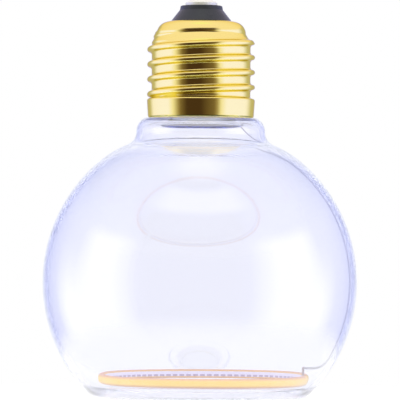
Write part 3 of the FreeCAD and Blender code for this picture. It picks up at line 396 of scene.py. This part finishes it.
def drawn_marks():
    """Shared finish: fine lines around the axis, as turning, rolling and drawing leave on metal."""
    group = bpy.data.node_groups.new("drawn_marks", "ShaderNodeTree")
    group.interface.new_socket("Vector", in_out="INPUT", socket_type="NodeSocketVector")
    for name in ("Lines", "Roughness", "Spread"):
        group.interface.new_socket(name, in_out="INPUT", socket_type="NodeSocketFloat")
    for name in ("Roughness", "Height"):
        group.interface.new_socket(name, in_out="OUTPUT", socket_type="NodeSocketFloat")
    given = group.nodes.new("NodeGroupInput").outputs
    result = group.nodes.new("NodeGroupOutput").inputs
    stretch = group.nodes.new("ShaderNodeCombineXYZ")
    for side in ("X", "Y"):
        stretch.inputs[side].default_value = unevenness_around
    group.links.new(given["Lines"], stretch.inputs["Z"])
    along = group.nodes.new("ShaderNodeVectorMath")
    along.operation = "MULTIPLY"
    group.links.new(given["Vector"], along.inputs[0])
    group.links.new(stretch.outputs["Vector"], along.inputs[1])
    lines = group.nodes.new("ShaderNodeTexNoise")
    lines.inputs["Scale"].default_value = 1
    lines.inputs["Detail"].default_value = 3
    group.links.new(along.outputs["Vector"], lines.inputs["Vector"])
    spread = reckon(group, "MULTIPLY_ADD", lines.outputs["Fac"], given["Spread"], given["Roughness"])
    group.links.new(spread, result["Roughness"])
    group.links.new(lines.outputs["Fac"], result["Height"])
    return group


marks_group = drawn_marks()


def metal(name, colour, lines, roughness, spread, depth):
    """A metal with drawn marks in its roughness and its surface."""
    material, tree, shader = new_material(name)
    shader.inputs["Base Color"].default_value = (*colour, 1)
    shader.inputs["Metallic"].default_value = 1
    place = tree.nodes.new("ShaderNodeTexCoord")
    marks = tree.nodes.new("ShaderNodeGroup")
    marks.node_tree = marks_group
    marks.inputs["Lines"].default_value = lines
    marks.inputs["Roughness"].default_value = roughness
    marks.inputs["Spread"].default_value = spread
    bump = tree.nodes.new("ShaderNodeBump")
    bump.inputs["Strength"].default_value = depth
    bump.inputs["Distance"].default_value = mark_height
    tree.links.new(place.outputs["Object"], marks.inputs["Vector"])
    tree.links.new(marks.outputs["Roughness"], shader.inputs["Roughness"])
    tree.links.new(marks.outputs["Height"], bump.inputs["Height"])
    tree.links.new(bump.outputs["Normal"], shader.inputs["Normal"])
    return material


brass = metal("polished_brass", (0.95, 0.85, 0.22), lines=4000, roughness=0.08, spread=0.08, depth=0.02)
brass.node_tree.nodes["Principled BSDF"].inputs["Specular Tint"].default_value = (0.85, 0.74, 0.42, 1)
thread = shell.modifiers.new("thread", "NODES")
thread.node_group = thread_rolling()
thread_sizes = {
    "Pitch": thread_pitch,
    "Crest Radius": crest_radius,
    "Root Radius": root_radius,
    "Crest Round": crest_round,
    "Root Round": root_round,
    "First Crest": first_crest,
    "Turns": thread_turns,
    "Fade": thread_fade,
    "Run Out": run_out,
    "Run Out Slope": run_out_slope,
    "Material": brass,
}
for socket in thread.node_group.interface.items_tree:
    if socket.name in thread_sizes:
        thread[socket.identifier] = thread_sizes[socket.name]
sheet = shell.modifiers.new("sheet", "SOLIDIFY")
sheet.thickness = shell_wall
sheet.offset = -1
finished(shell)
shell.data.set_sharp_from_angle(angle=shell_edge)
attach(shell, "root")
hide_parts("cap_shell")


def colour_mix(tree, factor, first, second):
    """A mix of two colours, each a socket or a plain colour; returns its result."""
    node = tree.nodes.new("ShaderNodeMix")
    node.data_type = "RGBA"
    first_colour, second_colour, result = node.inputs[6], node.inputs[7], node.outputs[2]
    tree.links.new(factor, node.inputs["Factor"])
    join(tree, first, first_colour)
    join(tree, second, second_colour)
    return result


def speckled():
    """Shared finish: a fine uneven mottle for moulded, painted and cast surfaces."""
    group = bpy.data.node_groups.new("speckled", "ShaderNodeTree")
    group.interface.new_socket("Vector", in_out="INPUT", socket_type="NodeSocketVector")
    group.interface.new_socket("Grain", in_out="INPUT", socket_type="NodeSocketFloat")
    for name in ("Light", "Dark"):
        group.interface.new_socket(name, in_out="INPUT", socket_type="NodeSocketColor")
    for name in ("Roughness", "Spread"):
        group.interface.new_socket(name, in_out="INPUT", socket_type="NodeSocketFloat")
    group.interface.new_socket("Color", in_out="OUTPUT", socket_type="NodeSocketColor")
    for name in ("Roughness", "Height"):
        group.interface.new_socket(name, in_out="OUTPUT", socket_type="NodeSocketFloat")
    given = group.nodes.new("NodeGroupInput").outputs
    result = group.nodes.new("NodeGroupOutput").inputs
    grain = group.nodes.new("ShaderNodeTexNoise")
    grain.inputs["Detail"].default_value = 4
    group.links.new(given["Vector"], grain.inputs["Vector"])
    group.links.new(given["Grain"], grain.inputs["Scale"])
    blend = colour_mix(group, grain.outputs["Fac"], given["Dark"], given["Light"])
    spread = reckon(group, "MULTIPLY_ADD", grain.outputs["Fac"], given["Spread"], given["Roughness"])
    group.links.new(blend, result["Color"])
    group.links.new(spread, result["Roughness"])
    group.links.new(grain.outputs["Fac"], result["Height"])
    return group


speckle_group = speckled()


def mottled(name, light, dark, grain, roughness, spread, depth):
    """A non-metal whose colour, gloss and surface vary finely between two shades."""
    material, tree, shader = new_material(name)
    place = tree.nodes.new("ShaderNodeTexCoord")
    speckle = tree.nodes.new("ShaderNodeGroup")
    speckle.node_tree = speckle_group
    speckle.inputs["Grain"].default_value = grain
    speckle.inputs["Light"].default_value = (*light, 1)
    speckle.inputs["Dark"].default_value = (*dark, 1)
    speckle.inputs["Roughness"].default_value = roughness
    speckle.inputs["Spread"].default_value = spread
    bump = tree.nodes.new("ShaderNodeBump")
    bump.inputs["Strength"].default_value = depth
    bump.inputs["Distance"].default_value = mark_height
    tree.links.new(place.outputs["Object"], speckle.inputs["Vector"])
    tree.links.new(speckle.outputs["Color"], shader.inputs["Base Color"])
    tree.links.new(speckle.outputs["Roughness"], shader.inputs["Roughness"])
    tree.links.new(speckle.outputs["Height"], bump.inputs["Height"])
    tree.links.new(bump.outputs["Normal"], shader.inputs["Normal"])
    return material


# Insulator: glossy black glass with a cone and a low rim, pressed into the crown of the shell.
# It carries the centre contact and keeps it apart from the brass.
black = mottled("black_insulator_glass", (0.04, 0.042, 0.045), (0.028, 0.03, 0.032),
                grain=300, roughness=0.22, spread=0.12, depth=0.03)
black.node_tree.nodes["Principled BSDF"].inputs["IOR"].default_value = 1.25
dress(nodes["cap_insulator"], black)

# Centre contact: a pale tinned dome with fine turning marks, fixed on top of the insulator,
# where the top lead of the fuse resistor reaches it.
tin = metal("tinned_contact", (0.72, 0.72, 0.6), lines=900, roughness=0.4, spread=0.2, depth=0.1)
tin.node_tree.nodes["Principled BSDF"].inputs["Metallic"].default_value = 0.35
dress(nodes["centre_contact"], tin)

# Cement: a matt, pale ring cast between neck and skirt, which holds the cap on the glass.
# It shows through the glass of the collar.
cement = mottled("cap_cement", (0.9, 0.86, 0.84), (0.8, 0.76, 0.74),
                 grain=1500, roughness=0.85, spread=0.1, depth=0.4)
dress(nodes["cap_cement"], cement)

# Driver: a white board on the lip of the neck with its components, hidden in the cap.
# Soldered wires join it to the filament, the shell and the contact.
board_mask = mottled("white_board", (0.82, 0.83, 0.8), (0.72, 0.74, 0.7),
                     grain=700, roughness=0.45, spread=0.1, depth=0.05)
resistor_paint = mottled("resistor_paint", (0.2, 0.42, 0.38), (0.14, 0.33, 0.3),
                         grain=900, roughness=0.4, spread=0.1, depth=0.05)
can_sleeve = mottled("capacitor_sleeve", (0.03, 0.035, 0.06), (0.015, 0.02, 0.04),
                     grain=500, roughness=0.3, spread=0.1, depth=0.03)
moulding = mottled("black_moulding", (0.03, 0.03, 0.03), (0.015, 0.015, 0.015),
                   grain=2500, roughness=0.6, spread=0.15, depth=0.2)
film = mottled("resistor_film", (0.05, 0.05, 0.055), (0.02, 0.02, 0.022),
               grain=2000, roughness=0.5, spread=0.15, depth=0.1)
drawn_wire = metal("drawn_wire", (0.6, 0.58, 0.62), lines=2500, roughness=0.3, spread=0.2, depth=0.05)
solder = metal("bright_solder", (0.75, 0.76, 0.78), lines=1200, roughness=0.25, spread=0.2, depth=0.1)
driver_finishes = {
    "driver_board": board_mask,
    "fusible_resistor": resistor_paint,
    "bulk_capacitor": can_sleeve,
    "bridge_rectifier": moulding,
    "driver_chip": moulding,
    "chip_resistors": film,
    "shell_lead": drawn_wire,
    "lead_joints": solder,
}
for node, material in driver_finishes.items():
    dress(nodes[node], material)

# Filament: a pale flexible strip bent to a ring, with LED chips outside, dark pads inside and
# a coat of amber phosphor silicone. It hangs on its two wire leads just above the glass floor.
strip_film = mottled("strip_film", (0.82, 0.76, 0.92), (0.74, 0.68, 0.86),
                     grain=800, roughness=0.45, spread=0.1, depth=0.02)
pad_metal = mottled("pad_plating", (0.5, 0.4, 0.55), (0.42, 0.32, 0.47),
                    grain=1500, roughness=0.4, spread=0.1, depth=0.02)
chip_face = mottled("chip_face", (0.5, 0.56, 0.7), (0.4, 0.46, 0.6),
                    grain=1500, roughness=0.2, spread=0.1, depth=0.02)
tab_metal = metal("terminal_tab", (0.7, 0.58, 0.56), lines=1500, roughness=0.45, spread=0.2, depth=0.05)
phosphor = mottled("amber_phosphor", (0.98, 0.7, 0.2), (0.96, 0.62, 0.15),
                   grain=600, roughness=0.55, spread=0.1, depth=0.03)
phosphor.node_tree.nodes["Principled BSDF"].inputs["Specular IOR Level"].default_value = 0.25


def smooth_rise(tree, value, begin, full):
    """A value's smooth way from 0 to 1 between two limits; returns its result."""
    node = tree.nodes.new("ShaderNodeMapRange")
    node.interpolation_type = "SMOOTHSTEP"
    node.inputs["From Min"].default_value = begin
    node.inputs["From Max"].default_value = full
    tree.links.new(value, node.inputs["Value"])
    return node.outputs["Result"]


# the coat is yellow at half height and pinkish toward its top and bottom edges; the pinkish edges are a
# painted sheen, for the look of the coat seen aslant
plain_coat_share = 0.15
painted_sheen_share = 0.55
# the darker pinkish colour of the painted sheen at the coat's edges
painted_sheen_colour = (0.62, 0.32, 0.25, 1)
heights = [corner[2] for corner in nodes["filament_phosphor"].bound_box]
coat_height = max(heights) - min(heights)
coat_middle = (min(heights) + max(heights)) / 2
tree = phosphor.node_tree
place = tree.nodes.new("ShaderNodeTexCoord")
apart = tree.nodes.new("ShaderNodeSeparateXYZ")
tree.links.new(place.outputs["Object"], apart.inputs["Vector"])
off_middle = reckon(tree, "ABSOLUTE", reckon(tree, "SUBTRACT", apart.outputs["Z"], coat_middle))
# painted sheen: mixed in by height, away from the yellow middle of the coat
painted_sheen_mask = smooth_rise(tree, off_middle, plain_coat_share * coat_height, painted_sheen_share * coat_height)
coat_and_painted_sheen = colour_mix(tree, painted_sheen_mask, tree.nodes["Group"].outputs["Color"], painted_sheen_colour)
tree.links.new(coat_and_painted_sheen, tree.nodes["Principled BSDF"].inputs["Base Color"])
filament_finishes = {
    "filament_strip": strip_film,
    "filament_pads": pad_metal,
    "filament_chips": chip_face,
    "filament_phosphor": phosphor,
    "filament_terminals": tab_metal,
    "filament_lead_live": drawn_wire,
    "filament_lead_return": drawn_wire,
}
for node, material in filament_finishes.items():
    dress(nodes[node], material)

# Studio: a pale paper floor that fades into a white room, three soft lamps, and a far wall that
# only reflections show, with one set of light plans for the glass and one for the metal.
paper_radius = 2
paper_segments = 64
paper_fades = 45 * mm
paper_gone = 90 * mm
floor_mesh = bpy.data.meshes.new("floor")
floor_shape = bmesh.new()
bmesh.ops.create_circle(floor_shape, cap_ends=True, segments=paper_segments, radius=paper_radius)
floor_shape.to_mesh(floor_mesh)
floor_shape.free()
floor = bpy.data.objects.new("floor", floor_mesh)
bpy.context.scene.collection.objects.link(floor)
paper, tree, shader = new_material("floor_paper")
shader.inputs["Base Color"].default_value = (0.42, 0.42, 0.42, 1)
shader.inputs["Roughness"].default_value = 0.9
shader.inputs["Specular IOR Level"].default_value = 0
shader.inputs["Emission Color"].default_value = (1, 1, 1, 1)
shader.inputs["Emission Strength"].default_value = 0.55
place = tree.nodes.new("ShaderNodeTexCoord")
reach = tree.nodes.new("ShaderNodeVectorMath")
reach.operation = "LENGTH"
tree.links.new(place.outputs["Object"], reach.inputs[0])
fade = smooth_rise(tree, reach.outputs["Value"], paper_fades, paper_gone)
nothing = tree.nodes.new("ShaderNodeBsdfTransparent")
edge = shader_mix(tree, fade, shader.outputs["BSDF"], nothing.outputs["BSDF"])
tree.links.new(edge, tree.nodes["Material Output"].inputs["Surface"])
dress(floor, paper)

plain_white = (1, 1, 1, 1)
white_through_glass = (1, 1, 1.08, 1)
world = bpy.data.worlds.new("white_room")
bpy.context.scene.world = world
world.use_nodes = True
tree = world.node_tree
room_light = tree.nodes["Background"]
room_light.inputs["Color"].default_value = plain_white
room_light.inputs["Strength"].default_value = 0.75
seen_white = tree.nodes.new("ShaderNodeBackground")
path = tree.nodes.new("ShaderNodeLightPath")
behind = colour_mix(tree, path.outputs["Is Transmission Ray"], plain_white, white_through_glass)
tree.links.new(behind, seen_white.inputs["Color"])
seen = path.outputs["Is Camera Ray"]
for kind in ("Is Glossy Ray", "Is Transmission Ray"):
    seen = reckon(tree, "MAXIMUM", seen, path.outputs[kind])
room = shader_mix(tree, seen, room_light.outputs["Background"], seen_white.outputs["Background"])
tree.links.new(room, tree.nodes["World Output"].inputs["Surface"])

lamp_power = 2.2
lamp_aim = Vector((0, 0, 50 * mm))


def toward(azimuth, elevation):
    """The way out from the bulb, by angles to the right of the camera's side and up from level."""
    level = math.cos(elevation)
    return Vector((math.sin(azimuth) * level, -math.cos(azimuth) * level, math.sin(elevation)))


def lamp(name, azimuth, elevation, distance, size):
    """A square soft lamp that faces the bulb, placed by angles in degrees."""
    light = bpy.data.lights.new(name, "AREA")
    light.size = size
    light.energy = lamp_power
    piece = bpy.data.objects.new(name, light)
    bpy.context.scene.collection.objects.link(piece)
    way = toward(math.radians(azimuth), math.radians(elevation))
    piece.location = lamp_aim + way * distance
    piece.rotation_euler = way.to_track_quat("Z", "Y").to_euler()
    piece.visible_camera = False
    piece.visible_glossy = False
    piece.visible_transmission = False


lamp("lamp_left", azimuth=-70, elevation=25, distance=0.7, size=0.45)
lamp("lamp_right", azimuth=65, elevation=25, distance=0.7, size=0.45)
lamp("lamp_top", azimuth=0, elevation=80, distance=0.8, size=0.5)

# The wall stands all around, from well below the bulb to nearly overhead, and fades at both edges.
wall_distance = 0.65
wall_low = math.radians(-72)
wall_high = math.radians(86)
wall_fade = 0.1
wall_columns = 96
wall_rows = 32


def on_wall(across, up):
    """The point of the wall at shares of its way around and up."""
    azimuth = 2 * math.pi * across - math.pi
    elevation = wall_low + (wall_high - wall_low) * up
    return Vector((0, 0, centre_height)) + toward(azimuth, elevation) * wall_distance


def wall_share(elevation):
    """The share of the wall's way up at an elevation in degrees."""
    return (math.radians(elevation) - wall_low) / (wall_high - wall_low)


def card(name, columns, rows, place):
    """A curved sheet over a grid of shares across and up, which only polished surfaces show."""
    shape = bmesh.new()
    layer = shape.loops.layers.uv.new("UVMap")
    corners = {}
    for column in range(columns + 1):
        for row in range(rows + 1):
            corners[column, row] = shape.verts.new(place(column / columns, row / rows))
    for column in range(columns):
        for row in range(rows):
            ring = ((column, row), (column + 1, row), (column + 1, row + 1), (column, row + 1))
            face = shape.faces.new([corners[corner] for corner in ring])
            for loop, (across, up) in zip(face.loops, ring):
                loop[layer].uv = (across / columns, up / rows)
    mesh = bpy.data.meshes.new(name)
    shape.to_mesh(mesh)
    shape.free()
    piece = bpy.data.objects.new(name, mesh)
    bpy.context.scene.collection.objects.link(piece)
    piece.visible_camera = False
    piece.visible_diffuse = False
    piece.visible_transmission = False
    piece.visible_shadow = False
    return piece


def card_paint(name, width):
    """A glowing paint that fades out at the lower and upper edge; returns its colour socket and place."""
    paint, tree, shader = new_material(name)
    tree.nodes.remove(shader)
    place = tree.nodes.new("ShaderNodeTexCoord")
    apart = tree.nodes.new("ShaderNodeSeparateXYZ")
    tree.links.new(place.outputs["UV"], apart.inputs["Vector"])
    half_way = 0.5
    from_edge = reckon(tree, "PINGPONG", apart.outputs["Y"], half_way)
    shown = smooth_rise(tree, from_edge, 0, width)
    nothing = tree.nodes.new("ShaderNodeBsdfTransparent")
    glow = tree.nodes.new("ShaderNodeEmission")
    edge = shader_mix(tree, shown, nothing.outputs["BSDF"], glow.outputs["Emission"])
    tree.links.new(edge, tree.nodes["Material Output"].inputs["Surface"])
    return paint, glow.inputs["Color"], apart


def ramp_around(tree, place, plan):
    """A colour ramp that follows a plan of azimuths in degrees and colours."""
    ramp = tree.nodes.new("ShaderNodeValToRGB")
    stops = ramp.color_ramp.elements
    stops[0].position = 0
    stops[1].position = 1
    for azimuth, colour in plan[1:-1]:
        stops.new((azimuth + 180) / 360)
    for stop, (azimuth, colour) in zip(stops, plan):
        stop.color = (*colour, 1)
    tree.links.new(place, ramp.inputs["Fac"])
    return ramp.outputs["Color"]


def stacked(tree, place, first_plan, next_plans):
    """Plans of colours over each other, each with the elevations where it begins and where it is full."""
    shown = ramp_around(tree, place.outputs["X"], first_plan)
    for begin, full, plan in next_plans:
        rise = smooth_rise(tree, place.outputs["Y"], wall_share(begin), wall_share(full))
        shown = colour_mix(tree, rise, shown, ramp_around(tree, place.outputs["X"], plan))
    return shown


# The glass sees a white panel at each side of the dark camera side, a lamp above the camera,
# dim sides and a white back.
grey_front = (0.08, 0.08, 0.1)
panel = (1.7, 1.7, 1.9)
panel_edge = (0.95, 0.97, 1.1)
panel_shade = (0.2, 0.2, 0.25)
dim_side = (0.4, 0.45, 0.9)
white_back = (0.85, 0.88, 1)
dim_above = (0.3, 0.36, 0.75)
front_lamp = (1, 1, 1)
glass_low = [
    (-180, white_back), (-160, white_back), (-147, dim_side), (-128, dim_side), (-110, panel),
    (-66, panel), (-54, panel_edge), (-44, panel_shade), (-36, grey_front), (24, grey_front),
    (36, panel_shade), (46, panel_edge), (58, panel), (98, panel), (116, dim_side),
    (147, dim_side), (160, white_back), (180, white_back),
]
glass_raised = [
    (-180, white_back), (-165, white_back), (-152, dim_side), (-102, dim_side), (-84, panel),
    (-66, panel), (-54, panel_edge), (-44, panel_shade), (-34, grey_front), (24, grey_front),
    (36, panel_shade), (46, panel_edge), (58, panel), (84, panel), (100, dim_side),
    (152, dim_side), (165, white_back), (180, white_back),
]
glass_middle = [
    (-180, white_back), (-165, white_back), (-152, dim_above), (-60, dim_above), (-45, grey_front),
    (32, grey_front), (50, dim_above), (152, dim_above), (165, white_back), (180, white_back),
]
glass_high = [
    (-180, white_back), (-165, white_back), (-152, dim_above), (-60, dim_above), (-36, front_lamp),
    (36, front_lamp), (60, dim_above), (152, dim_above), (165, white_back), (180, white_back),
]
glass_levels = [
    (-14, 20, glass_raised), (22, 32, glass_middle), (46, 54, glass_high), (64, 72, glass_middle),
]

# The metal sees light from above, wide pale panels at the sides and a darker front. Its own plans
# make it a picture joined from two exposures: sharp reflections are the glass's, blurred the metal's.
crown_light = (1.02, 0.88, 1.2)
cap_panel = (1.04, 1.04, 2.65)
cap_edge = (0.96, 0.9, 1.25)
cap_half = (0.4, 0.32, 0.28)
cap_shade = (0.2, 0.14, 0.1)
cap_side = (0.62, 0.62, 0.95)
dark_front = (0.066, 0.036, 0.027)
cap_low = [
    (-180, cap_panel), (-170, cap_side), (-140, cap_side), (-124, cap_panel), (-74, cap_panel),
    (-62, cap_edge), (-50, cap_half), (-44, cap_shade), (-30, dark_front), (0, dark_front),
    (29, cap_shade), (36, cap_half), (44, cap_edge), (57, cap_panel), (114, cap_panel),
    (136, cap_side), (170, cap_side), (180, cap_panel),
]
beside_crown = [
    (-180, crown_light), (-60, crown_light), (-40, dark_front), (35, dark_front), (55, crown_light),
    (180, crown_light),
]
over_crown = [(-180, crown_light), (0, crown_light), (180, crown_light)]
cap_levels = [(22, 30, beside_crown), (38, 46, over_crown)]

wall = card("studio_wall", wall_columns, wall_rows, on_wall)
wall_paint, wall_colour, wall_place = card_paint("studio_wall", wall_fade)
tree = wall_paint.node_tree
path = tree.nodes.new("ShaderNodeLightPath")
metal_light = stacked(tree, wall_place, cap_low, cap_levels)
glass_light = stacked(tree, wall_place, glass_low, glass_levels)
wall_light = colour_mix(tree, path.outputs["Is Singular Ray"], metal_light, glass_light)
tree.links.new(wall_light, wall_colour)
dress(wall, wall_paint)

# Camera: far away and a little above the middle of the globe, tilted up and rolled a touch,
# as the photograph was taken. The light paths are long enough for the layers of glass.
eye_height = 36.4 * mm
eye_distance = 860 * mm
picture_middle = 47.8 * mm
picture_width = 97.1 * mm
camera_roll = math.radians(-0.35)
camera_tilt = math.atan2(picture_middle - eye_height, eye_distance)
camera_data = bpy.data.cameras.new("camera")
camera_data.sensor_width = 36
camera_data.lens = camera_data.sensor_width * eye_distance / picture_width
camera = bpy.data.objects.new("camera", camera_data)
bpy.context.scene.collection.objects.link(camera)
camera.location = (0, -eye_distance, eye_height)
camera.rotation_euler = (math.pi / 2 + camera_tilt, camera_roll, 0)
bpy.context.scene.camera = camera
light_paths = bpy.context.scene.cycles
light_paths.max_bounces = 32
light_paths.glossy_bounces = 24
light_paths.transmission_bounces = 32
bpy.context.scene.view_settings.view_transform = "Standard"
